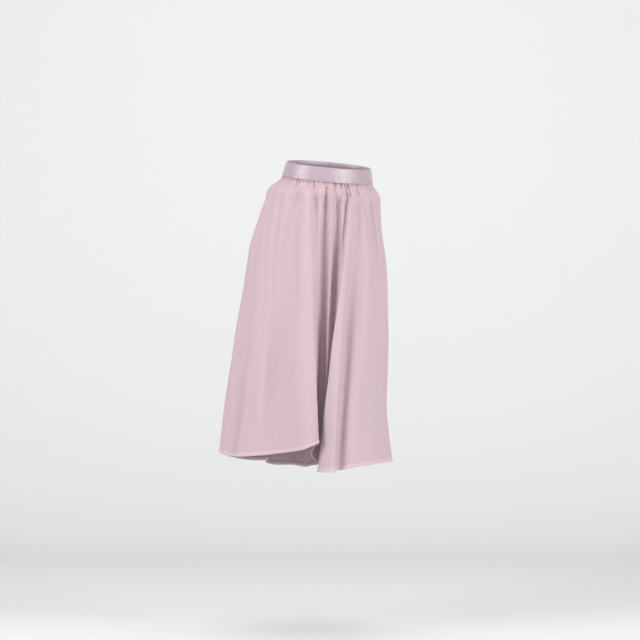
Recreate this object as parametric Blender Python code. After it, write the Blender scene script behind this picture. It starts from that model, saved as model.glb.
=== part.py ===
# Pull-on dance skirt: a satin elastic waistband with two A-line chiffon panels gathered to it.
# Metres, +Z up. The wearer faces -Y and has their left hand at +X.
# The origin is the middle of the waistband's top edge, where the waist holds the skirt.
# The skirt hangs as worn, in deep uneven folds, open at the waist and the hem.

import math

import bpy

# Waistband: an elastic loop that dips towards the front, a little wider at its lower edge.
BAND_HEIGHT = 0.032
BAND_WALL = 0.0018
BAND_TOP_HALF_WIDTH = 0.1015
BAND_TOP_HALF_DEPTH = 0.081
BAND_FOOT_HALF_WIDTH = 0.109
BAND_FOOT_HALF_DEPTH = 0.087
BAND_TILT = math.radians(10.4)
BAND_STEPS = 84
BAND_CHAMFER = 0.0005
BAND_BULGE = 0.0006

# Cloth: each panel is one wall, whose outer side is worked out first.
CLOTH_WALL = 0.001
SEAM_GAP = 0.0003
GATHER_HEIGHT = 0.0016
GATHER_FADE = 0.10
FOLD_RISE = 0.075
COLUMNS_PER_LINE = 2

# Heights of the mesh rows, as shares of the way from the waistband to the hem.
ROW_SHARES = (0.0, 0.012, 0.028, 0.048, 0.078, 0.12, 0.175, 0.24, 0.31, 0.38, 0.46, 0.54, 0.62, 0.71, 0.80, 0.90, 1.0)

# The skirt's outline was taken in a view turned this far from the wearer's front, towards their right.
VIEW_TURN = math.radians(35.0)

# Reach of the folds' crests from the waist's axis in that view, down the skirt. Oval is the share by which the
# ring is wider from hip to hip, and shallower from front to back, than those reaches make it.
OUTLINE_COLUMNS = ("share", "left", "right", "near", "far", "oval")
OUTLINE = (
    (0.00, 0.1070, 0.1000, 0.1000, 0.1000, 0.110),
    (0.02, 0.1205, 0.1080, 0.1060, 0.1090, 0.105),
    (0.045, 0.1340, 0.1153, 0.1130, 0.1190, 0.095),
    (0.08, 0.1425, 0.1190, 0.1185, 0.1280, 0.085),
    (0.15, 0.1575, 0.1225, 0.1270, 0.1410, 0.070),
    (0.25, 0.1775, 0.1290, 0.1360, 0.1560, 0.055),
    (0.35, 0.1890, 0.1325, 0.1430, 0.1690, 0.045),
    (0.45, 0.1990, 0.1345, 0.1500, 0.1810, 0.035),
    (0.55, 0.2105, 0.1350, 0.1560, 0.1920, 0.030),
    (0.68, 0.2238, 0.1325, 0.1640, 0.2060, 0.020),
    (0.80, 0.2345, 0.1325, 0.1700, 0.2170, 0.010),
    (0.90, 0.2420, 0.1375, 0.1750, 0.2260, 0.005),
    (1.00, 0.2500, 0.1455, 0.1800, 0.2350, 0.000),
)

# Fold lines of the seen half, from the left edge round the near side to the right edge. Places are degrees round
# the view, 0 near and 90 right, at the band, halfway and at the hem. Depths are millimetres inside the outline.
LINE_COLUMNS = (
    "name", "band", "mid", "hem", "top_depth", "mid_depth", "hem_depth", "hem_height",
)
SEEN_LINES = (
    ("left_crest", -84, -86, -88, 0, 0, 0, -0.6525),
    ("left_wall", -79.5, -73, -71, 5, 5, 5, -0.6560),
    ("left_valley", -75, -57.5, -60, 8, 19, 27, -0.6600),
    ("right_hip_edge", -70.5, -55, -57, 1, 2, 2, -0.6565),
    ("right_hip_crest", -66, -50, -50.5, 0, 0, 0, -0.6560),
    ("panel_groove_1", -60.5, -46, -44, 6, 3, 4, -0.6540),
    ("panel_ridge_1", -55, -43, -38, 1, 5, 8, -0.6520),
    ("panel_groove_2", -49, -40, -34, 6, 9, 12, -0.6500),
    ("panel_ridge_2", -43.5, -37, -31, 2, 10, 14, -0.6485),
    ("panel_groove_3", -38.5, -34, -28, 5, 12, 15, -0.6470),
    ("panel_ridge_3", -34.5, -30.5, -24, 5, 11, 11, -0.6450),
    ("panel_valley", -30.5, -26, -20, 9, 8, 6, -0.6425),
    ("panel_crest", -24, -17.5, -13, 0, 0, 0, -0.6370),
    ("panel_edge", -18.5, -10, -5.0, 1, 3, 3, -0.6230),
    ("centre_dark", -15, -7.0, -7.0, 13, 16, 15, -0.6330),
    ("centre_fold_1", -9.5, -5.0, -10.0, 2, 27, 29, -0.6450),
    ("centre_groove_1", -1.8, -2.4, -9.5, 14, 37, 47, -0.6600),
    ("centre_fold_2", 3.2, 0.0, -4.5, 1, 22, 60, -0.6720),
    ("centre_groove_2", 13, 6.8, 0.8, 14, 37, 53, -0.6780),
    ("centre_fold_3", 19.5, 9.0, -1.4, 1, 26, 41, -0.6830),
    ("under_edge", 27.5, 8.2, -5.0, 12, 14, 34, -0.6865),
    ("right_panel_edge", 30, 5.5, -7.2, 1, 3, 27, -0.6880),
    ("right_panel_face", 32.5, 9.5, -3.2, 0, 0, 12, -0.6875),
    ("right_panel_crest", 36, 14.8, 5.4, 1, 1, 2, -0.6860),
    ("right_valley", 43, 24.2, 11.0, 9, 12, 16, -0.6835),
    ("right_wall", 47, 34, 26, 4, 6, 7, -0.6765),
    ("side_crest", 51.5, 47, 52, 0, 0, 0, -0.6710),
    ("side_groove", 60.5, 66.5, 82, 8, 7, 4, -0.6725),
    ("side_fold", 65, 73, 87, 1, 2, 1, -0.6735),
    ("edge_groove", 70, 79, 91, 7, 5, 3, -0.6740),
    ("right_crest", 76, 86, 95, 0, 0, 0, -0.6746),
)

# Folds of the hidden half, on from the right edge. Each row is the valley before a crest, and that crest; the last
# row's crest is the left edge's. Lean moves the valley's floor round, as a share of the spacing.
BACK_COLUMNS = (
    "name", "band", "mid", "hem", "top_depth", "mid_depth", "hem_depth", "lean", "valley_height", "crest_height",
)
BACK_FOLDS = (
    ("left_hip", 106, 113, 119, 8, 22, 38, 0.05, -0.6830, -0.6800),
    ("left_back", 139, 143, 148, 10, 30, 50, -0.10, -0.6900, -0.6850),
    ("back_left", 171, 173, 174, 7, 20, 33, 0.08, -0.6950, -0.6930),
    ("back_right", 205, 207, 210, 11, 33, 56, 0.12, -0.6965, -0.6935),
    ("right_back", 239, 240, 239, 8, 23, 40, -0.08, -0.6785, -0.6732),
    ("left_edge", 276, 274, 272, 9, 26, 42, 0.06, -0.6690, -0.6525),
)
# How each hidden valley is shaped between its two crests: five lines across it.
VALLEY_COLUMNS = ("band_share", "hem_share", "top_share", "low_share")
VALLEY_SHAPE = (
    (0.17, 0.24, 0.75, 0.10),
    (0.34, 0.38, 0.10, 0.58),
    (0.51, 0.50, 1.00, 1.00),
    (0.67, 0.62, 0.10, 0.62),
    (0.84, 0.77, 0.80, 0.12),
)

# The side seams lie on these lines.
RIGHT_SEAM_LINE = "left_valley"
LEFT_SEAM_LINE = "left_back_2"

SATIN = (0.52, 0.38, 0.42)
CHIFFON = (0.60, 0.42, 0.47)


def smooth_step(value):
    value = min(max(value, 0.0), 1.0)
    return value * value * (3.0 - 2.0 * value)


def mix(first, second, share):
    return first + (second - first) * share


def through_heights(band, mid, hem, share):
    """The smooth curve through a value's three heights: at the band, halfway and at the hem."""
    return (
        band * (2.0 * share - 1.0) * (share - 1.0)
        + mid * 4.0 * share * (1.0 - share)
        + hem * share * (2.0 * share - 1.0)
    )


def outline_at(share):
    """Reaches left, right, near and far, and the oval, at this share of the way down: smooth through the rows."""
    rows = [dict(zip(OUTLINE_COLUMNS, row)) for row in OUTLINE]
    low = max(i for i in range(len(rows) - 1) if rows[i]["share"] <= share)
    span = rows[low + 1]["share"] - rows[low]["share"]
    x = (share - rows[low]["share"]) / span

    def slope(at, name):
        before = rows[max(at - 1, 0)]
        after = rows[min(at + 1, len(rows) - 1)]
        return (after[name] - before[name]) / (after["share"] - before["share"]) * span

    reaches = []
    for name in OUTLINE_COLUMNS[1:]:
        reaches.append(
            rows[low][name] * (1 + 2 * x) * (1 - x) ** 2
            + slope(low, name) * x * (1 - x) ** 2
            + rows[low + 1][name] * x * x * (3 - 2 * x)
            + slope(low + 1, name) * x * x * (x - 1)
        )
    return reaches


def view_to_world(right, near):
    """A level place in the outline's view, as world X and Y."""
    return (
        right * math.cos(VIEW_TURN) - near * math.sin(VIEW_TURN),
        -right * math.sin(VIEW_TURN) - near * math.cos(VIEW_TURN),
    )


def band_ring(place, down):
    """World point on the waistband's middle at this place, this share of the way down it."""
    around = place - VIEW_TURN
    half_width = mix(BAND_TOP_HALF_WIDTH, BAND_FOOT_HALF_WIDTH, down)
    half_depth = mix(BAND_TOP_HALF_DEPTH, BAND_FOOT_HALF_DEPTH, down)
    x = half_width * math.sin(around)
    level_y = -half_depth * math.cos(around)
    drop = BAND_HEIGHT * down
    return (
        x,
        level_y + drop * math.sin(BAND_TILT),
        level_y * math.tan(BAND_TILT) - drop * math.cos(BAND_TILT),
    )


def crest_ring(place, share):
    """World X and Y of the crests' outline at this place, in radians round the view."""
    left, right, near, far, oval = outline_at(share)
    stretch = 1 - oval * math.cos(2 * (place - VIEW_TURN))
    stretch /= 1 - oval * math.cos(math.pi - 2 * VIEW_TURN)
    reach_side = stretch * (right if math.sin(place) > 0 else left)
    reach_front = stretch * (near if math.cos(place) > 0 else far)
    x, y = view_to_world(reach_side * math.sin(place), reach_front * math.cos(place))
    top_x, top_y, _ = band_ring(place, 1.0)
    blend = smooth_step(share / 0.045)
    return mix(top_x, x, blend), mix(top_y, y, blend)


def line_point(line, share):
    """World point of one fold line at this share of the way down."""
    place = math.radians(through_heights(line["band"], line["mid"], line["hem"], share))
    depth = through_heights(line["top_depth"], line["mid_depth"], line["hem_depth"], share) / 1000.0
    depth *= smooth_step(share / FOLD_RISE)
    step = 0.01
    x, y = crest_ring(place, share)
    next_x, next_y = crest_ring(place + step, share)
    along = math.hypot(next_x - x, next_y - y)
    inward = (-(next_y - y) / along, (next_x - x) / along)
    top = band_ring(math.radians(line["band"]), 1.0)[2] - SEAM_GAP
    height = mix(top, line["hem_height"], share)
    return (x + inward[0] * depth, y + inward[1] * depth, height)


def back_lines():
    """The hidden half's fold lines, five across each valley and one on each crest."""
    lines = []
    before = dict(zip(LINE_COLUMNS, SEEN_LINES[-1]))
    before["crest_height"] = before["hem_height"]
    for row in BACK_FOLDS:
        fold = dict(zip(BACK_COLUMNS, row))
        for number, shape_row in enumerate(VALLEY_SHAPE):
            shape = dict(zip(VALLEY_COLUMNS, shape_row))
            hem_share = shape["hem_share"] + fold["lean"] * shape["low_share"]
            mid_share = (shape["band_share"] + shape["hem_share"] + fold["lean"] * shape["low_share"]) / 2.0
            crest_height = mix(before["crest_height"], fold["crest_height"], hem_share)
            lines.append({
                "name": f"{fold['name']}_{number}",
                "band": mix(before["band"], fold["band"], shape["band_share"]),
                "mid": mix(before["mid"], fold["mid"], mid_share),
                "hem": mix(before["hem"], fold["hem"], hem_share),
                "top_depth": fold["top_depth"] * shape["top_share"],
                "mid_depth": fold["mid_depth"] * shape["low_share"],
                "hem_depth": fold["hem_depth"] * shape["low_share"],
                "hem_height": mix(crest_height, fold["valley_height"], shape["low_share"]),
            })
        if row is not BACK_FOLDS[-1]:
            lines.append({
                "name": fold["name"] + "_crest",
                "band": fold["band"],
                "mid": fold["mid"],
                "hem": fold["hem"],
                "top_depth": 0.0,
                "mid_depth": 0.0,
                "hem_depth": 0.0,
                "hem_height": fold["crest_height"],
            })
        before = fold
    return lines


def between_points(before, first, second, after, share):
    """Catmull-Rom point between first and second."""
    point = []
    for a, b, c, d in zip(before, first, second, after):
        point.append(0.5 * (
            2 * b + (c - a) * share + (2 * a - 5 * b + 4 * c - d) * share ** 2
            + (3 * b - a - 3 * c + d) * share ** 3
        ))
    return tuple(point)


def cross(a, b):
    return (a[1] * b[2] - a[2] * b[1], a[2] * b[0] - a[0] * b[2], a[0] * b[1] - a[1] * b[0])


def minus(a, b):
    return tuple(x - y for x, y in zip(a, b))


def moved(point, direction, distance):
    """The point moved this far along a direction of any length."""
    length = math.sqrt(sum(x * x for x in direction))
    return tuple(p + x / length * distance for p, x in zip(point, direction))


def outer_rows(lines):
    """The cloth's outer side: one closed ring of points for each row, before the gathers."""
    rows = []
    for share in ROW_SHARES:
        at_lines = [line_point(line, share) for line in lines]
        ring = []
        for i in range(len(lines)):
            near_by = [at_lines[(i + k) % len(lines)] for k in (-1, 0, 1, 2)]
            for step in range(COLUMNS_PER_LINE):
                ring.append(between_points(*near_by, step / COLUMNS_PER_LINE))
        rows.append(ring)
    return rows


def out_direction(rows, row, column):
    """Outward normal of the cloth at a point of its outer side."""
    ring = rows[row]
    along = minus(ring[(column + 1) % len(ring)], ring[column - 1])
    above = rows[max(row - 1, 0)][column]
    below = rows[min(row + 1, len(rows) - 1)][column]
    return cross(along, minus(above, below))


def gathered(rows):
    """Raises every other column under the waistband, and lowers the ones between, fading down the cloth."""
    result = []
    for row, ring in enumerate(rows):
        rise = GATHER_HEIGHT * (1.0 - smooth_step(ROW_SHARES[row] / GATHER_FADE))
        result.append([
            moved(point, out_direction(rows, row, column), rise if column % 2 == 0 else -rise)
            for column, point in enumerate(ring)
        ])
    return result


def panel_sides(rows, first, last):
    """Outer and inner points of the panel between two columns, ends held back by half the seam's gap."""
    count = len(rows[0])
    columns = [(first + k) % count for k in range((last - first) % count + 1)]
    outer = []
    inner = []
    for row in range(len(rows)):
        outer_ring = []
        inner_ring = []
        for column in columns:
            point = rows[row][column]
            outward = out_direction(rows, row, column)
            outer_ring.append(point)
            inner_ring.append(moved(point, outward, -CLOTH_WALL))
        for ring in (outer_ring, inner_ring):
            ring[0] = moved(ring[0], minus(ring[1], ring[0]), SEAM_GAP / 2)
            ring[-1] = moved(ring[-1], minus(ring[-2], ring[-1]), SEAM_GAP / 2)
        outer.append(outer_ring)
        inner.append(inner_ring)
    return outer, inner


def material(name, colour, roughness):
    made = bpy.data.materials.new(name)
    made.use_nodes = True
    shader = made.node_tree.nodes["Principled BSDF"]
    shader.inputs["Base Color"].default_value = (*colour, 1.0)
    shader.inputs["Roughness"].default_value = roughness
    shader.inputs["Metallic"].default_value = 0.0
    return made


def add_object(name, points, faces, finish):
    mesh = bpy.data.meshes.new(name)
    mesh.from_pydata(points, [], faces)
    mesh.materials.append(finish)
    mesh.shade_smooth()
    made = bpy.data.objects.new(name, mesh)
    bpy.context.collection.objects.link(made)
    return made


def make_panel(name, rows, first, last, finish):
    """One cloth panel: an outer and an inner sheet joined along the top, the hem and both side seams."""
    outer, inner = panel_sides(rows, first, last)
    height = len(outer)
    width = len(outer[0])
    points = [point for ring in outer for point in ring] + [point for ring in inner for point in ring]
    inner_start = height * width

    def at(row, column, side):
        return side * inner_start + row * width + column

    faces = []
    for row in range(height - 1):
        for column in range(width - 1):
            corners = [(row, column), (row + 1, column), (row + 1, column + 1), (row, column + 1)]
            faces.append([at(r, c, 0) for r, c in corners])
            faces.append([at(r, c, 1) for r, c in reversed(corners)])
    for column in range(width - 1):
        faces.append([at(0, column, 0), at(0, column + 1, 0), at(0, column + 1, 1), at(0, column, 1)])
        hem = height - 1
        faces.append([at(hem, column + 1, 0), at(hem, column, 0), at(hem, column, 1), at(hem, column + 1, 1)])
    for row in range(height - 1):
        faces.append([at(row + 1, 0, 0), at(row, 0, 0), at(row, 0, 1), at(row + 1, 0, 1)])
        end = width - 1
        faces.append([at(row, end, 0), at(row + 1, end, 0), at(row + 1, end, 1), at(row, end, 1)])
    return add_object(name, points, faces, finish)


def make_waistband(finish):
    """The elastic loop: a chamfered strip round the waist, its middle a little proud."""
    half = BAND_WALL / 2
    trim = BAND_CHAMFER / BAND_HEIGHT
    # Section from the outer side's top, down it, and up the inner side: share down, distance out.
    section = (
        (0.0, half - BAND_CHAMFER),
        (trim, half),
        (0.5, half + BAND_BULGE),
        (1.0 - trim, half),
        (1.0, half - BAND_CHAMFER),
        (1.0, BAND_CHAMFER - half),
        (0.5, BAND_BULGE - half),
        (0.0, BAND_CHAMFER - half),
    )
    points = []
    for step in range(BAND_STEPS):
        place = 2 * math.pi * step / BAND_STEPS
        next_place = place + 0.01
        for down, out in section:
            point = band_ring(place, down)
            along = minus(band_ring(next_place, down), point)
            rise = minus(band_ring(place, 0.0), band_ring(place, 1.0))
            points.append(moved(point, cross(along, rise), out))
    faces = []
    for step in range(BAND_STEPS):
        here = step * len(section)
        there = (step + 1) % BAND_STEPS * len(section)
        for k in range(len(section)):
            after = (k + 1) % len(section)
            faces.append([here + k, here + after, there + after, there + k])
    return add_object("waistband", points, faces, finish)


for old in list(bpy.data.objects):
    bpy.data.objects.remove(old)

seen = [dict(zip(LINE_COLUMNS, row)) for row in SEEN_LINES]
all_lines = seen + back_lines()
names = [line["name"] for line in all_lines]
right_seam = names.index(RIGHT_SEAM_LINE) * COLUMNS_PER_LINE
left_seam = names.index(LEFT_SEAM_LINE) * COLUMNS_PER_LINE
cloth_rows = gathered(outer_rows(all_lines))

chiffon = material("mauve_chiffon", CHIFFON, 0.85)
make_panel("skirt_front", cloth_rows, right_seam, left_seam, chiffon)
make_panel("skirt_back", cloth_rows, left_seam, right_seam, chiffon.copy())
make_waistband(material("mauve_satin_elastic", SATIN, 0.45))
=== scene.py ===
import math

import bmesh
import bpy
import numpy as np
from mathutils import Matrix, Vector


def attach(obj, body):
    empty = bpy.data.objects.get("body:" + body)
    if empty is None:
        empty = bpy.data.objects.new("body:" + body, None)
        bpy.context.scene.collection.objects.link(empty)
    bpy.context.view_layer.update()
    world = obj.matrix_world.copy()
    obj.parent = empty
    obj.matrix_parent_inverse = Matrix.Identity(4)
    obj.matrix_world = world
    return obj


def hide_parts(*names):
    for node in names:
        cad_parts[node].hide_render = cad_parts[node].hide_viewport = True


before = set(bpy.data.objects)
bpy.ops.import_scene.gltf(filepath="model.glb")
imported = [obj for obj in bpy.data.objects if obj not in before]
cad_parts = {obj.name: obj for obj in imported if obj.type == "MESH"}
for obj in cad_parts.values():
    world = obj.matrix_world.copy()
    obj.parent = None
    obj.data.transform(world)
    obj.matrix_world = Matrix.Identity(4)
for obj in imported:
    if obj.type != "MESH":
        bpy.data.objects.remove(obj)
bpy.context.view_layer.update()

# Camera and stage
# A nearly level view from the wearer's front, turned 35 degrees towards their right, from 5 metres. The
# floor is 1.07 m under the waist. Floor and wall are one pale sweep of painted board, bent where they meet.
VIEW_TURN = math.radians(35.0)
CAMERA_DISTANCE = 5.0
CAMERA_DROP = 0.3707
CAMERA_ASIDE = -0.0205
CAMERA_LENS = 123.75
CAMERA_PITCH = math.radians(0.208)
FLOOR_HEIGHT = -1.07
FLOOR_SIZE = 8.0
WALL_DISTANCE = 2.9
WALL_TOP = 3.0
SWEEP_RADIUS = 1.2
SWEEP_SEGMENTS = 16


def in_view(right, near, up):
    """World place of a point given sideways, towards the camera and up."""
    return Vector((
        math.cos(VIEW_TURN) * right - math.sin(VIEW_TURN) * near,
        -math.sin(VIEW_TURN) * right - math.cos(VIEW_TURN) * near,
        up,
    ))


def select_edges(piece, wanted):
    """Selects, in edit mode, the edges whose middle is wanted."""
    bpy.ops.mesh.select_mode(type="EDGE")
    bpy.ops.mesh.select_all(action="DESELECT")
    mesh = bmesh.from_edit_mesh(piece.data)
    for edge in mesh.edges:
        edge.select_set(wanted((edge.verts[0].co + edge.verts[1].co) / 2))
    bmesh.update_edit_mesh(piece.data)


def colour(hex_code):
    """An sRGB hex colour as the linear values that a shader takes."""
    values = [int(hex_code[i:i + 2], 16) / 255.0 for i in (1, 3, 5)]
    linear = [v / 12.92 if v <= 0.04045 else ((v + 0.055) / 1.055) ** 2.4 for v in values]
    return (*linear, 1.0)


def node(tree, kind, settings=None, inputs=None, links=None):
    """Adds one shader node: its settings, its sockets' values, and (socket, from node, from socket) links."""
    made = tree.nodes.new(kind)
    for name, value in (settings or {}).items():
        setattr(made, name, value)
    for name, value in (inputs or {}).items():
        made.inputs[name].default_value = value
    for name, source, output in (links or []):
        tree.links.new(source.outputs[output], made.inputs[name])
    return made


def new_material(name):
    """A material with an empty tree, and its output node."""
    made = bpy.data.materials.new(name)
    made.use_nodes = True
    made.node_tree.nodes.clear()
    return made, made.node_tree, made.node_tree.nodes.new("ShaderNodeOutputMaterial")


camera_data = bpy.data.cameras.new("studio_camera")
camera_data.lens = CAMERA_LENS
camera_data.clip_end = 50.0
camera = bpy.data.objects.new("studio_camera", camera_data)
camera.location = in_view(CAMERA_ASIDE, CAMERA_DISTANCE, -CAMERA_DROP)
camera.rotation_euler = (math.radians(90.0) + CAMERA_PITCH, 0.0, -VIEW_TURN)
bpy.context.scene.collection.objects.link(camera)
bpy.context.scene.camera = camera

# Painted studio sweep: matt emulsion, so it shows only a faint tooth.
sweep_paint, tree, surface = new_material("matt_studio_paint")
place = node(tree, "ShaderNodeTexCoord")
tooth = node(tree, "ShaderNodeTexNoise", inputs={"Scale": 60.0, "Detail": 4.0}, links=[
    ("Vector", place, "Object"),
])
relief = node(tree, "ShaderNodeBump", inputs={"Strength": 0.02, "Distance": 0.001}, links=[
    ("Height", tooth, "Fac"),
])
paint = node(tree, "ShaderNodeBsdfPrincipled", inputs={
    "Base Color": colour("#dbdcdb"), "Roughness": 0.9, "Specular IOR Level": 0.15,
}, links=[("Normal", relief, "Normal")])
tree.links.new(paint.outputs["BSDF"], surface.inputs["Surface"])

bpy.ops.object.select_all(action="DESELECT")
bpy.ops.mesh.primitive_plane_add(
    size=FLOOR_SIZE, rotation=(0.0, 0.0, -VIEW_TURN),
    location=in_view(0.0, FLOOR_SIZE / 2 - WALL_DISTANCE, FLOOR_HEIGHT),
)
sweep = bpy.context.object
sweep.name = "studio_sweep"
bpy.ops.object.transform_apply(location=True, rotation=True, scale=True)
back_edge = in_view(0.0, -WALL_DISTANCE, FLOOR_HEIGHT)
bpy.ops.object.mode_set(mode="EDIT")
select_edges(sweep, lambda middle: (middle - back_edge).length < SWEEP_RADIUS)
bpy.ops.mesh.extrude_region_move(TRANSFORM_OT_translate={"value": (0.0, 0.0, WALL_TOP - FLOOR_HEIGHT)})
select_edges(sweep, lambda middle: (middle - back_edge).length < SWEEP_RADIUS)
bpy.ops.mesh.bevel(offset=SWEEP_RADIUS, segments=SWEEP_SEGMENTS)
bpy.ops.object.mode_set(mode="OBJECT")
sweep.data.shade_smooth()
sweep.data.materials.append(sweep_paint)

# Studio light
# Two large soft boxes beside the camera, the left one stronger, so that only the grooves between folds go
# dark. A third box overhead fills from the top, and a fourth lights the wall behind.
world = bpy.data.worlds.new("studio_air")
bpy.context.scene.world = world
world.use_nodes = True
world.node_tree.nodes["Background"].inputs["Color"].default_value = colour("#f1f4f6")
world.node_tree.nodes["Background"].inputs["Strength"].default_value = 0.34
bpy.context.scene.view_settings.view_transform = "Standard"

LIGHT_COLUMNS = ("name", "right", "near", "up", "aim_near", "aim_up", "width", "height", "power", "tint")
LIGHTS = (
    ("left_box", -2.8, 2.3, 0.8, 0.0, -0.3, 2.2, 2.6, 136.0, "#ffffff"),
    ("right_box", 3.1, 2.1, 0.5, 0.0, -0.35, 1.8, 2.4, 132.0, "#ffffff"),
    ("top_box", 0.0, 0.9, 2.6, 0.0, -0.4, 2.2, 2.2, 40.0, "#ffffff"),
    ("wall_box", 0.0, -0.5, 2.5, -2.9, 0.1, 3.0, 1.2, 8.0, "#ffffff"),
)
for row in LIGHTS:
    light = dict(zip(LIGHT_COLUMNS, row))
    lamp = bpy.data.lights.new(light["name"], "AREA")
    lamp.shape = "RECTANGLE"
    lamp.size = light["width"]
    lamp.size_y = light["height"]
    lamp.energy = light["power"]
    lamp.color = colour(light["tint"])[:3]
    lamp_object = bpy.data.objects.new(light["name"], lamp)
    lamp_object.location = in_view(light["right"], light["near"], light["up"])
    aim = in_view(0.0, light["aim_near"], light["aim_up"])
    lamp_object.rotation_euler = (aim - lamp_object.location).to_track_quat("-Z", "Y").to_euler()
    bpy.context.scene.collection.objects.link(lamp_object)

# Satin elastic
# A 32 mm woven elastic with a satin face, joined into a loop at the centre back and sewn over the
# gathered edge. It stretches a little round the waist. Its rubber threads show as fine ribs, and its
# lower edge is puckered.
BAND_HEIGHT = 0.032
BAND_WALL = 0.0018
BAND_TOP = (0.1015, 0.081)
BAND_FOOT = (0.109, 0.087)
BAND_TILT = math.radians(10.4)
BAND_BULGE = 0.0006
BAND_EDGE = 0.0005
BAND_STEPS = 420
BAND_ROWS = 32
INNER_STEP = 8
RIB_PITCH = 0.004
RIB_HEIGHT = 0.00007
BAND_PUCKER = 0.0003
PUCKER_START = 0.02
# The pucker's waves: how many go round, how high each is against the others, and where it starts.
PUCKER_WAVES = ((31, 1.0, 0.0), (53, 0.6, 1.0), (17, 0.4, 2.0))
JOIN_HALF_WIDTH = 0.006
JOIN_RISE = 0.0007
JOIN_SLOPE = 0.0015
SHOWN_RIB = 0.001


def smooth_step(values):
    values = np.clip(values, 0.0, 1.0)
    return values * values * (3 - 2 * values)


def band_place(turn, drop, out):
    """World places on the elastic: radians round from the front, metres down it and out of its middle."""
    def middle(turn, drop):
        share = drop / BAND_HEIGHT
        half_width = BAND_TOP[0] + (BAND_FOOT[0] - BAND_TOP[0]) * share
        half_depth = BAND_TOP[1] + (BAND_FOOT[1] - BAND_TOP[1]) * share
        level = -half_depth * np.cos(turn)
        return np.stack([
            half_width * np.sin(turn),
            level + drop * math.sin(BAND_TILT),
            level * math.tan(BAND_TILT) - drop * math.cos(BAND_TILT),
        ], axis=-1)

    turn, drop, out = np.broadcast_arrays(turn, drop, out)
    along = middle(turn + 0.01, drop) - middle(turn, drop)
    rise = middle(turn, 0.0 * drop) - middle(turn, 0.0 * drop + BAND_HEIGHT)
    outward = np.cross(along, rise)
    outward /= np.linalg.norm(outward, axis=-1, keepdims=True)
    return middle(turn, drop) + outward * out[..., None]


def lengths_along(points):
    """Distance from the first point of a line to each of its points."""
    return np.concatenate([[0.0], np.cumsum(np.linalg.norm(np.diff(points, axis=0), axis=1))])


def cloth_mesh(name, points, across, down, finish):
    """A mesh of quads on a grid of points, with a UV map in metres of flat cloth. It closes on itself where
    across or down has one value more than the grid has columns or rows, and the ends of a closed section
    are capped."""
    height, width = points.shape[:2]
    faces = []
    places = []
    for r in range(len(down) - 1):
        for c in range(len(across) - 1):
            corners = ((r, c), (r + 1, c), (r + 1, c + 1), (r, c + 1))
            faces.append([i % height * width + j % width for i, j in corners])
            places += [(across[j], -down[i]) for i, j in corners]
    if len(down) > height and len(across) == width:
        for column in (0, width - 1):
            faces.append([i * width + column for i in range(height)])
            places += [(across[column], -down[i]) for i in range(height)]
    mesh = bpy.data.meshes.new(name)
    mesh.from_pydata(points.reshape(-1, 3).tolist(), [], faces)
    mesh.uv_layers.new(name="flat_cloth").data.foreach_set("uv", np.array(places).reshape(-1))
    if len(down) > height:
        solid = bmesh.new()
        solid.from_mesh(mesh)
        bmesh.ops.recalc_face_normals(solid, faces=solid.faces)
        solid.to_mesh(mesh)
        solid.free()
    mesh.shade_smooth()
    mesh.materials.append(finish)
    made = bpy.data.objects.new(name, mesh)
    bpy.context.scene.collection.objects.link(made)
    return made


# Satin elastic: long floats of polyester run round it over rubber threads, so it has a soft, stretched
# shine across the ribs. The real ribs lie 0.7 mm apart, and are drawn 1 mm apart.
satin, tree, surface = new_material("mauve_satin_elastic")
place = node(tree, "ShaderNodeUVMap", settings={"uv_map": "flat_cloth"})
parts = node(tree, "ShaderNodeSeparateXYZ", links=[("Vector", place, "UV")])
turns = node(tree, "ShaderNodeMath", settings={"operation": "MULTIPLY"}, inputs={
    1: 2 * math.pi / SHOWN_RIB,
}, links=[(0, parts, "Y")])
ribs = node(tree, "ShaderNodeMath", settings={"operation": "SINE"}, links=[(0, turns, "Value")])
float_place = node(tree, "ShaderNodeMapping", inputs={"Scale": (90.0, 1400.0, 1.0)}, links=[
    ("Vector", place, "UV"),
])
floats = node(tree, "ShaderNodeTexNoise", inputs={"Scale": 1.0, "Detail": 3.0}, links=[
    ("Vector", float_place, "Vector"),
])
height = node(tree, "ShaderNodeMath", settings={"operation": "MULTIPLY_ADD"}, inputs={1: 1.5}, links=[
    (0, floats, "Fac"), (2, ribs, "Value"),
])
relief = node(tree, "ShaderNodeBump", inputs={"Strength": 0.3, "Distance": 0.00012}, links=[
    ("Height", height, "Value"),
])
dye = node(tree, "ShaderNodeMix", settings={"data_type": "RGBA"}, inputs={
    "A": colour("#9d8b94"), "B": colour("#aa97a0"),
}, links=[("Factor", floats, "Fac")])
shine = node(tree, "ShaderNodeBsdfPrincipled", inputs={
    "Roughness": 0.32, "IOR": 1.5, "Specular IOR Level": 0.6, "Sheen Weight": 0.2, "Sheen Roughness": 0.3,
}, links=[("Base Color", dye, "Result"), ("Normal", relief, "Normal")])
tree.links.new(shine.outputs["BSDF"], surface.inputs["Surface"])

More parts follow.
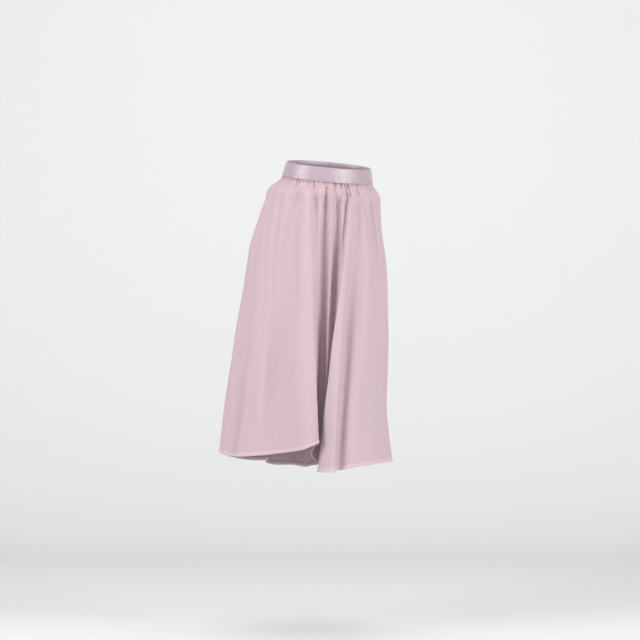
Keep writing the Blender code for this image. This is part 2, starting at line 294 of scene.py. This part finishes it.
# The section goes down the outer side, round the lower edge and up the inner side.
drops = np.linspace(0.0, BAND_HEIGHT, BAND_ROWS + 1)
half = BAND_WALL / 2
bow = BAND_BULGE * (1 - np.abs(2 * drops / BAND_HEIGHT - 1))
outs = half + bow + RIB_HEIGHT * np.cos(2 * math.pi * drops / RIB_PITCH)
outs[[0, -1]] = half - BAND_EDGE
inner_drops = drops[::-INNER_STEP]
drops = np.concatenate([drops, inner_drops])
outs = np.concatenate([outs, BAND_BULGE * (1 - np.abs(2 * inner_drops / BAND_HEIGHT - 1)) - half])
outs[[-1, BAND_ROWS + 1]] += BAND_EDGE
turns_round = np.arange(BAND_STEPS) * 2 * math.pi / BAND_STEPS
waves = sum(height * np.sin(count * turns_round + start) for count, height, start in PUCKER_WAVES)
pucker = BAND_PUCKER * waves * smooth_step((drops - PUCKER_START) / (BAND_HEIGHT - PUCKER_START))[:, None]
from_join = np.abs(turns_round - math.pi) * BAND_FOOT[0]
lap = JOIN_RISE * smooth_step((JOIN_HALF_WIDTH - from_join) / JOIN_SLOPE + 0.5)
shape = outs[:, None] + pucker
shape[:BAND_ROWS + 1] += lap
points_of_band = band_place(turns_round, drops[:, None], shape)
middle_ring = points_of_band[BAND_ROWS // 2]
loop_length = lengths_along(np.concatenate([middle_ring, middle_ring[:1]]))
section_length = lengths_along(np.concatenate([points_of_band[:, 0], points_of_band[:1, 0]]))
elastic = cloth_mesh("satin_elastic", points_of_band, loop_length, section_length, satin)
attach(elastic, "root")
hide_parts("waistband")

# Chiffon panels
# Two A-line panels of polyester crepe chiffon, one layer, cut wide and gathered to the elastic. Each is a
# thin shell on its own solid's form, drawn finer, with the small creases laid in one by one from a list.
PANELS = {"front_panel": "skirt_front", "back_panel": "skirt_back"}
WALL = 0.001
MERGE = 0.00002
TOP_ROW_DEPTH = 0.004
SEAM_GAP = 0.0003
SHELL = 0.0004
FINE_PER_COLUMN = 4
FINE_ROWS = ((0.0, 0.0015), (0.036, 0.004), (0.10, 0.0065))
HEM_ROWS = 0.012
HEM_ROW_COUNT = 6
TUCK_HEIGHTS = (0.006, 0.004, 0.002)
TUCK_AT_EDGE = 0.0013
TUCK_ABOVE = 0.0011
TUCK_BEND = 0.004
TUCK_LENGTH = 0.009
GATHER_HEIGHT = 0.0016
GATHER_FADE = 0.10


def outer_grid(node_name):
    """The outer side of a panel's solid, as rows of points from the waistband down to the hem."""
    mesh = bmesh.new()
    mesh.from_mesh(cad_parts[node_name].data)
    bmesh.ops.remove_doubles(mesh, verts=mesh.verts, dist=MERGE)
    rim = [f for f in mesh.faces if min(e.calc_length() for e in f.edges) < 1.5 * WALL]
    bmesh.ops.delete(mesh, geom=rim, context="FACES")
    left = set(mesh.verts)
    sheets = []
    while left:
        sheet = {left.pop()}
        edge_of_sheet = list(sheet)
        while edge_of_sheet:
            found = {e.other_vert(v) for v in edge_of_sheet for e in v.link_edges} & left
            left -= found
            sheet |= found
            edge_of_sheet = list(found)
        sheets.append(sheet)
    sheets = sorted(sheets, key=len)[-2:]
    outer = max(sheets, key=lambda sheet: sum(math.hypot(v.co.x, v.co.y) for v in sheet) / len(sheet))

    def height_over_band(v):
        return v.co.z - v.co.y * math.tan(BAND_TILT)

    top = max(height_over_band(v) for v in outer)
    row = {v for v in outer if v.is_boundary and height_over_band(v) > top - TOP_ROW_DEPTH}
    rows = []
    seen = set()
    start = None
    while row:
        ends = [v for v in row if sum(e.other_vert(v) in row for e in v.link_edges) == 1]
        if start is None:
            start = max(ends, key=lambda v: v.co.y)
        else:
            start = min(ends, key=lambda v: (v.co - start.co).length)
        path = [start]
        while len(path) < len(row):
            after = [e.other_vert(path[-1]) for e in path[-1].link_edges]
            path.append(next(v for v in after if v in row and v not in path[-2:]))
        rows.append([tuple(v.co) for v in path])
        seen |= row
        row = {e.other_vert(v) for v in row for e in v.link_edges} - seen
    mesh.free()
    return np.array(rows)


def spline_weights(knots, places):
    """How much each knot counts at each place, on the smooth curve through all the knots."""
    gaps = np.diff(knots)
    count = len(knots)
    system = np.eye(count)
    right = np.zeros((count, count))
    for i in range(1, count - 1):
        system[i, i - 1:i + 2] = gaps[i - 1], 2 * (gaps[i - 1] + gaps[i]), gaps[i]
        right[i, i - 1:i + 2] = 6 / gaps[i - 1], -6 / gaps[i - 1] - 6 / gaps[i], 6 / gaps[i]
    bends = np.linalg.solve(system, right)
    span = np.clip(np.searchsorted(knots, places, side="right") - 1, 0, count - 2)
    width = gaps[span][:, None]
    a = (knots[span + 1] - places)[:, None] / width
    b = 1 - a
    own = np.eye(count)
    bend = (a ** 3 - a) * bends[span] + (b ** 3 - b) * bends[span + 1]
    return a * own[span] + b * own[span + 1] + bend * width ** 2 / 6


def fine_places(length):
    """Distances down the cloth of the fine rows: close under the elastic, wider below, close at the hem."""
    places = [0.0]
    while places[-1] < length - HEM_ROWS:
        step = [pitch for start, pitch in FINE_ROWS if places[-1] >= start - 1e-9][-1]
        places.append(places[-1] + step)
    places[-1] = length - HEM_ROWS
    at_hem = [length - HEM_ROWS * (1 - k / HEM_ROW_COUNT) for k in range(1, HEM_ROW_COUNT + 1)]
    return np.array(places + at_hem)


def out_of_cloth(points):
    """Unit normals of a grid of points."""
    normals = np.cross(np.gradient(points, axis=0), np.gradient(points, axis=1))
    return normals / np.linalg.norm(normals, axis=2, keepdims=True)


def uneven_gathers(columns, down):
    """How far each point is moved so that the gathers, even on the solid, vary in depth and length."""
    even = GATHER_HEIGHT * (1 - smooth_step(down / down[-1] / GATHER_FADE))[:, None]
    depth = GATHER_HEIGHT * (0.95 + 0.3 * np.sin(1.3 * columns + 0.4) + 0.25 * np.sin(2.9 * columns))
    reach = 0.034 + 0.012 * np.sin(0.83 * columns + 1.0) + 0.010 * np.sin(2.1 * columns)
    uneven = depth * (1 - smooth_step(down[:, None] / reach))
    return np.cos(math.pi * columns) * (uneven - even)


# Creases, listed one by one. Places are degrees round the camera's view, 0 near and 90 right, at the
# crease's upper and lower end; heights are distances down from the band in millimetres, and the rest are
# millimetres too.
CREASE_COLUMNS = ("from_place", "to_place", "from_down", "to_down", "half_width", "rise")
CREASES = (
    (28, -28, 50, 1620, 10, -9.0), (-8, -7, 60, 560, 4, -4.0), (-10, -7, 120, 1300, 9, -5.0),
    (-3.5, -4, -20, 75, 2.6, -4.0), (9.5, 7, -20, 75, 3.4, -4.5), (20.5, 14, -20, 65, 2.2, -3.5),
    (29, 27, -20, 65, 3, -2.5), (54, 64, 60, 560, 7, -3.5), (-72, -74, 1, 30, 3, -1.2),
    (-51, -57, 1, 24, 2.6, -1.5), (-45, -50, 2, 30, 3, 1.0), (-38, -44, 1, 20, 2.4, -1.5),
    (-37, -31, 14, 80, 5, -3.0), (-27, -26, 1, 20, 2.2, -1.7), (-24, -22, 1, 26, 2.2, 1.2),
    (-20.5, -19, 1, 46, 2.8, -2.0), (-13.5, -13, 1, 24, 2.2, -1.6), (-9, -6, 2, 45, 3, 1.2),
    (12, 9, 2, 60, 3, -1.0), (24, 19, 2, 80, 3, -1.3), (31, 30, 2, 90, 3, -1.5),
    (37, 35, 2, 120, 4, 1.0), (45, 56, -10, 270, 4, -4.0), (55, 62, -10, 260, 3, -2.5),
    (70, 72, 1, 60, 3, -1.3), (-44, -43, 230, 1300, 16, -5.0), (-26, -27, 150, 420, 12, 1.2),
    (-60, -52, 60, 260, 9, -0.9), (-22, -16, 150, 500, 8, -1.0), (-12, -11, 260, 600, 7, 1.3),
    (8, 6, 200, 520, 6, -1.2), (36, 34, 240, 600, 9, 1.6), (56, 58, 300, 620, 8, -1.3),
    (100, 104, 2, 90, 5, -1.4), (118, 121, 2, 70, 4, -1.3), (133, 130, 3, 120, 5, 1.3),
    (150, 154, 2, 80, 4, -1.4), (166, 163, 2, 110, 5, -1.2), (184, 189, 3, 75, 4, 1.4),
    (203, 199, 2, 100, 5, -1.3), (221, 226, 2, 85, 4, -1.4), (240, 237, 3, 120, 5, -1.1),
    (258, 262, 2, 70, 4, 1.3), (125, 128, 160, 520, 9, 1.5), (163, 160, 220, 590, 10, -1.5),
    (196, 198, 140, 480, 9, 1.4), (228, 226, 240, 600, 9, -1.6), (250, 254, 180, 540, 8, 1.3),
    (111, 115, 40, 210, 6, -1.6), (177, 172, 50, 260, 7, -1.6), (212, 216, 30, 190, 6, 1.4),
)
# The cloth's slack between folds: waves this far apart across and down the cloth, and this high, in metres.
SLACK = ((0.075, 0.31, 0.0007), (0.11, -0.43, 0.0008), (0.047, 0.57, 0.0003))


def crease_rise(points, down):
    """How far each point rises out of the cloth for the creases, all soft at both ends, and for its slack."""
    right = points @ np.array(in_view(1.0, 0.0, 0.0))
    near = points @ np.array(in_view(0.0, 1.0, 0.0))
    places = np.degrees(np.arctan2(right, near))
    reach = np.hypot(right, near)
    lift = np.zeros(places.shape)
    for row in CREASES:
        crease = dict(zip(CREASE_COLUMNS, row))
        along = (down * 1000 - crease["from_down"]) / (crease["to_down"] - crease["from_down"])
        middle = crease["from_place"] + (crease["to_place"] - crease["from_place"]) * along
        aside = (places - middle[:, None] + 180.0) % 360.0 - 180.0
        aside = np.radians(aside) * reach * 1000 / crease["half_width"]
        fade = smooth_step(along * 5) * smooth_step((1 - along) * 1.6)
        lift += crease["rise"] / 1000 * np.exp(-aside ** 2) * fade[:, None]
    across = np.radians(places) * reach
    settled = smooth_step(down / 0.15)[:, None]
    for wave_across, wave_down, rise in SLACK:
        lift += rise * settled * np.sin(2 * math.pi * (across / wave_across + down[:, None] / wave_down))
    return lift


def apply_modifier(piece, kind, **settings):
    """Adds a modifier with its settings and applies it."""
    bpy.ops.object.select_all(action="DESELECT")
    bpy.context.view_layer.objects.active = piece
    piece.select_set(True)
    added = piece.modifiers.new(kind.lower(), kind)
    for name, value in settings.items():
        setattr(added, name, value)
    bpy.ops.object.modifier_apply(modifier=added.name)


# The crepe's pebbles are this share of the yarns' count across the cloth. The dye has faint greyer runs,
# about 22 to a metre across the cloth and 3 to a metre down it.
PEBBLE_SHARE = 0.3
RUN_SCALE = (22.0, 3.0, 1.0)


def crepe_material(name, low, high, cool, sheer_share, yarn):
    """Crepe chiffon: dull, slightly pebbled and a little sheer, so light comes softly through from behind."""
    made, tree, surface = new_material(name)
    place = node(tree, "ShaderNodeUVMap", settings={"uv_map": "flat_cloth"})
    warp_place = node(tree, "ShaderNodeMapping", inputs={"Scale": (1 / yarn, 0.12 / yarn, 1.0)}, links=[
        ("Vector", place, "UV"),
    ])
    weft_place = node(tree, "ShaderNodeMapping", inputs={"Scale": (0.12 / yarn, 1 / yarn, 1.0)}, links=[
        ("Vector", place, "UV"),
    ])
    warp = node(tree, "ShaderNodeTexNoise", inputs={"Scale": 1.0, "Detail": 2.0}, links=[
        ("Vector", warp_place, "Vector"),
    ])
    weft = node(tree, "ShaderNodeTexNoise", inputs={"Scale": 1.0, "Detail": 2.0}, links=[
        ("Vector", weft_place, "Vector"),
    ])
    yarns = node(tree, "ShaderNodeMath", settings={"operation": "MULTIPLY"}, links=[
        (0, warp, "Fac"), (1, weft, "Fac"),
    ])
    pebble = node(tree, "ShaderNodeTexNoise", inputs={
        "Scale": PEBBLE_SHARE / yarn, "Detail": 3.0, "Roughness": 0.6,
    }, links=[("Vector", place, "UV")])
    crepe = node(tree, "ShaderNodeMath", settings={"operation": "MULTIPLY_ADD"}, inputs={1: 0.5}, links=[
        (0, pebble, "Fac"), (2, yarns, "Value"),
    ])
    relief = node(tree, "ShaderNodeBump", inputs={"Strength": 0.15, "Distance": 0.0004}, links=[
        ("Height", crepe, "Value"),
    ])
    dye = node(tree, "ShaderNodeMapRange", inputs={"From Min": 0.3, "From Max": 0.7}, links=[
        ("Value", crepe, "Value"),
    ])
    crepe_tone = node(tree, "ShaderNodeMix", settings={"data_type": "RGBA"}, inputs={
        "A": colour(low), "B": colour(high),
    }, links=[("Factor", dye, "Result")])
    run_place = node(tree, "ShaderNodeMapping", inputs={"Scale": RUN_SCALE}, links=[("Vector", place, "UV")])
    runs = node(tree, "ShaderNodeTexNoise", inputs={"Scale": 1.0, "Detail": 2.0}, links=[
        ("Vector", run_place, "Vector"),
    ])
    run_share = node(tree, "ShaderNodeMapRange", inputs={
        "From Min": 0.35, "From Max": 0.7, "To Max": 0.4,
    }, links=[("Value", runs, "Fac")])
    tone = node(tree, "ShaderNodeMix", settings={"data_type": "RGBA"}, inputs={"B": colour(cool)}, links=[
        ("Factor", run_share, "Result"), ("A", crepe_tone, "Result"),
    ])
    facing = node(tree, "ShaderNodeBsdfPrincipled", inputs={
        "Roughness": 0.82, "IOR": 1.46, "Specular IOR Level": 0.25,
        "Sheen Weight": 0.22, "Sheen Roughness": 0.45, "Sheen Tint": colour("#f6e8ee"),
    }, links=[("Base Color", tone, "Result"), ("Normal", relief, "Normal")])
    through = node(tree, "ShaderNodeBsdfTranslucent", links=[("Color", tone, "Result")])
    sheer = node(tree, "ShaderNodeMixShader", inputs={"Fac": sheer_share}, links=[
        (1, facing, "BSDF"), (2, through, "BSDF"),
    ])
    tree.links.new(sheer.outputs["Shader"], surface.inputs["Surface"])
    return made


# The real yarns lie 0.25 mm apart, far finer than a pixel, so they are drawn 1.2 mm apart and faint.
YARN = 0.0012
chiffon = crepe_material("mauve_crepe_chiffon", "#b99fa6", "#c3abb1", "#b5a5ad", 0.12, YARN)

panels = {}
for name, solid in PANELS.items():
    grid = outer_grid(solid)
    if (out_of_cloth(grid)[..., :2] * grid[..., :2]).sum() < 0:
        grid = grid[:, ::-1]
    for end, beside in ((0, 1), (-1, -2)):
        away = grid[:, end] - grid[:, beside]
        grid[:, end] += away / np.linalg.norm(away, axis=1, keepdims=True) * SEAM_GAP / 2
    row_knots = np.concatenate([[0.0], np.cumsum(np.linalg.norm(np.diff(grid, axis=0), axis=2).mean(axis=1))])
    spacing = np.sqrt(np.linalg.norm(np.diff(grid, axis=1), axis=2)).mean(axis=0)
    column_knots = np.concatenate([[0.0], np.cumsum(spacing)])
    down = fine_places(row_knots[-1])
    columns = np.arange(FINE_PER_COLUMN * (grid.shape[1] - 1) + 1) / FINE_PER_COLUMN
    across = np.interp(columns, np.arange(grid.shape[1]), column_knots)
    down_weights = spline_weights(row_knots, down)
    across_weights = spline_weights(column_knots, across)
    points = np.einsum("ri,ijk,cj->rck", down_weights, grid, across_weights)
    normals = out_of_cloth(points)
    at_seam = smooth_step(np.minimum(columns, columns[-1] - columns) / 2)
    lift = (uneven_gathers(columns, down) + crease_rise(points, down)) * at_seam
    tucked = points[0] + normals[0] * lift[0][:, None]
    lift -= (TUCK_AT_EDGE * (1 - smooth_step(down / TUCK_LENGTH)))[:, None]
    points = points + normals * lift[..., None]
    up_band = np.array((0.0, -math.sin(BAND_TILT), math.cos(BAND_TILT)))
    above = []
    for height in TUCK_HEIGHTS:
        inward = TUCK_AT_EDGE + TUCK_ABOVE * smooth_step(height / TUCK_BEND)
        above.append(tucked + up_band * height - normals[0] * inward)
    points = np.concatenate([above, points])
    down = np.concatenate([-np.array(TUCK_HEIGHTS), down])
    hem_width = lengths_along(points[-1])
    piece = cloth_mesh(name, points, hem_width, down, chiffon)
    apply_modifier(piece, "SOLIDIFY", thickness=SHELL, offset=-1.0, use_even_offset=False)
    panels[name] = {"piece": piece, "points": points, "normals": out_of_cloth(points), "down": down}
    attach(piece, "root")
    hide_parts(solid)

# Turned hem
# Each panel's lower edge is turned up twice, 8.5 mm deep, and sewn down 7 mm above the edge. Its three
# layers stand a little proud of the single cloth and let less light through, and the thread pulls a fine
# groove into it.
# The hem's section: millimetres up from the cloth's edge, and out of its outer side.
HEM_SECTION = (
    (8.5, 0.1), (8.3, 0.45), (7.4, 0.5), (7.0, 0.2), (6.6, 0.5), (4.0, 0.5), (0.8, 0.45),
    (0.0, 0.1), (-0.3, -0.4), (0.0, -1.0), (0.8, -1.3), (4.0, -1.35), (8.3, -1.3), (8.5, -0.9),
)
HEM_DEPTH = 8.5
HEM_PUCKER = 0.00012
HEM_WAVES = (0.011, 0.017)
HEM_MIDDLE = 5
HEM_MEASURED_COLUMN = 40
HEM_STITCH_HEIGHT = 0.007
STITCH_RISE = 0.0003
STITCH_LENGTH = 0.0022
STITCH_PITCH = 0.0028
THREAD = 0.00035


def cloth_at(panel, up):
    """A panel's outer side, and its normals, at this height above its lower edge."""
    down = panel["down"]
    place = down[-1] - up
    row = min(int(np.searchsorted(down, place, side="right")) - 1, len(down) - 2)
    share = (place - down[row]) / (down[row + 1] - down[row])
    return [panel[side][row] * (1 - share) + panel[side][row + 1] * share for side in ("points", "normals")]


def thread_run(name, line, outward, pitch):
    """A row of stitches along a line, each a short thread that dips into the cloth at both ends."""
    lengths = lengths_along(line)
    starts = np.arange(pitch / 2, lengths[-1], pitch)

    def on_line(values, at):
        return np.stack([np.interp(at, lengths, values[:, k]) for k in range(3)], axis=1)

    def unit(values):
        return values / np.linalg.norm(values, axis=1, keepdims=True)

    middle = on_line(line, starts)
    way = unit(on_line(line, starts + pitch / 4) - on_line(line, starts - pitch / 4))
    lift = unit(on_line(outward, starts))
    side = unit(np.cross(way, lift))
    # Place along the stitch, the thread's thickness and its height: shares of its length and of its radius.
    rings = ((-0.5, 0.5, -1.0), (-0.3, 1.0, 0.2), (0.3, 1.0, 0.2), (0.5, 0.5, -1.0))
    corners = 5
    verts = []
    for along, thick, high in rings:
        for k in range(corners):
            turn = 2 * math.pi * k / corners
            reach = lift * math.cos(turn) + side * math.sin(turn)
            verts.append(middle + way * along * STITCH_LENGTH + (lift * high + reach * thick) * THREAD / 2)
    verts = np.stack(verts, axis=1)
    faces = []
    for stitch in range(len(starts)):
        first = stitch * len(rings) * corners
        for ring in range(len(rings) - 1):
            for k in range(corners):
                here = first + ring * corners
                after = (k + 1) % corners
                faces.append((here + k, here + after, here + corners + after, here + corners + k))
        last = first + (len(rings) - 1) * corners
        faces.append([first + k for k in reversed(range(corners))])
        faces.append([last + k for k in range(corners)])
    mesh = bpy.data.meshes.new(name)
    mesh.from_pydata(verts.reshape(-1, 3).tolist(), [], faces)
    made_normals = bmesh.new()
    made_normals.from_mesh(mesh)
    bmesh.ops.recalc_face_normals(made_normals, faces=made_normals.faces)
    made_normals.to_mesh(mesh)
    made_normals.free()
    mesh.shade_smooth()
    mesh.materials.append(thread)
    made = bpy.data.objects.new(name, mesh)
    bpy.context.scene.collection.objects.link(made)
    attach(made, "root")
    return made


# Spun polyester sewing thread, dyed to match: a dull yarn with a faint shine and a twist of about 0.5 mm.
thread, tree, surface = new_material("mauve_polyester_thread")
place = node(tree, "ShaderNodeTexCoord")
twist = node(tree, "ShaderNodeTexNoise", inputs={"Scale": 2000.0, "Detail": 1.0}, links=[
    ("Vector", place, "Object"),
])
relief = node(tree, "ShaderNodeBump", inputs={"Strength": 0.4, "Distance": 0.0001}, links=[
    ("Height", twist, "Fac"),
])
tone = node(tree, "ShaderNodeMix", settings={"data_type": "RGBA"}, inputs={
    "A": colour("#ad969d"), "B": colour("#bba4ab"),
}, links=[("Factor", twist, "Fac")])
yarn_face = node(tree, "ShaderNodeBsdfPrincipled", inputs={"Roughness": 0.55, "IOR": 1.5}, links=[
    ("Base Color", tone, "Result"), ("Normal", relief, "Normal"),
])
tree.links.new(yarn_face.outputs["BSDF"], surface.inputs["Surface"])

# Three layers of the same chiffon: paler and less sheer than one.
turned_chiffon = crepe_material("mauve_chiffon_three_layers", "#bda4ab", "#c8b0b6", "#bba9b0", 0.06, YARN)

for name, panel in panels.items():
    rings = []
    for up, out in HEM_SECTION:
        ring, normals = cloth_at(panel, up / 1000)
        turns = lengths_along(ring) * 2 * math.pi
        waves = sum(np.sin(turns / wave) for wave in HEM_WAVES)
        rings.append(ring + normals * (out / 1000 + HEM_PUCKER * waves * max(up, 0.0) / HEM_DEPTH)[:, None])
    rings = np.array(rings)
    along = lengths_along(rings[HEM_MIDDLE])
    measured = rings[:, HEM_MEASURED_COLUMN]
    section_length = lengths_along(np.concatenate([measured, measured[:1]]))
    hem = cloth_mesh(name.replace("panel", "hem"), rings, along, section_length, turned_chiffon)
    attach(hem, "root")
    line, outward = cloth_at(panel, HEM_STITCH_HEIGHT)
    line = line + outward * STITCH_RISE
    stitches = thread_run(name.replace("panel", "hem_stitches"), line, outward, STITCH_PITCH)

# Side seams
# The two panels are joined down both sides, right sides together. The overlocked edges, 6 mm wide, stand
# inwards behind the seam.
SEAM_NAMES = {0: "first_side_seam", -1: "second_side_seam"}
# The seam's section: millimetres to the side of it, and inwards from the cloth's outer side.
SEAM_MEASURED_ROW = 9
SEAM_SECTION = ((-0.4, 0.35), (0.4, 0.35), (0.5, 3.0), (0.45, 6.0), (-0.45, 6.0), (-0.5, 3.0))
front = panels["front_panel"]
for end, name in SEAM_NAMES.items():
    line = front["points"][3:-1, end]
    inward = -front["normals"][3:-1, end]
    aside = front["points"][3:-1, end] - front["points"][3:-1, 1 if end == 0 else -2]
    aside /= np.linalg.norm(aside, axis=1, keepdims=True)
    strips = np.array([line + aside * side / 1000 + inward * deep / 1000 for side, deep in SEAM_SECTION])
    measured = strips[:, SEAM_MEASURED_ROW]
    section_length = lengths_along(np.concatenate([measured, measured[:1]]))
    seam = cloth_mesh(name, strips, lengths_along(line), section_length, turned_chiffon)
    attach(seam, "root")

# Sewing of the elastic
# One row of straight stitches, 3 mm above the elastic's lower edge, holds the gathered cloth behind it.
# Two short rows across the elastic close its lapped ends at the centre back.
BAND_STITCH_DROP = 0.029
BAND_STITCH_PITCH = 0.0034
THREAD_RISE = THREAD * 0.3
JOIN_STITCH_INSET = 0.002
JOIN_STITCH_END = 0.003
JOIN_LINE_POINTS = 30
row_at = int(round(BAND_STITCH_DROP / BAND_HEIGHT * BAND_ROWS))
closed = list(range(BAND_STEPS)) + [0]
around = turns_round[closed]
outward = band_place(around, BAND_STITCH_DROP, 1.0) - band_place(around, BAND_STITCH_DROP, 0.0)
line = points_of_band[row_at][closed] + outward * THREAD_RISE
thread_run("band_stitches", line, outward, BAND_STITCH_PITCH)
for name, side in (("join_stitches_left", -1), ("join_stitches_right", 1)):
    turn = math.pi + side * (JOIN_HALF_WIDTH - JOIN_STITCH_INSET) / BAND_FOOT[0]
    heights = np.linspace(JOIN_STITCH_END, BAND_HEIGHT - JOIN_STITCH_END, JOIN_LINE_POINTS)
    proud = half + BAND_BULGE * (1 - np.abs(2 * heights / BAND_HEIGHT - 1)) + JOIN_RISE + THREAD_RISE
    line = band_place(turn, heights, proud)
    thread_run(name, line, line - band_place(turn, heights, 0.0), STITCH_PITCH)
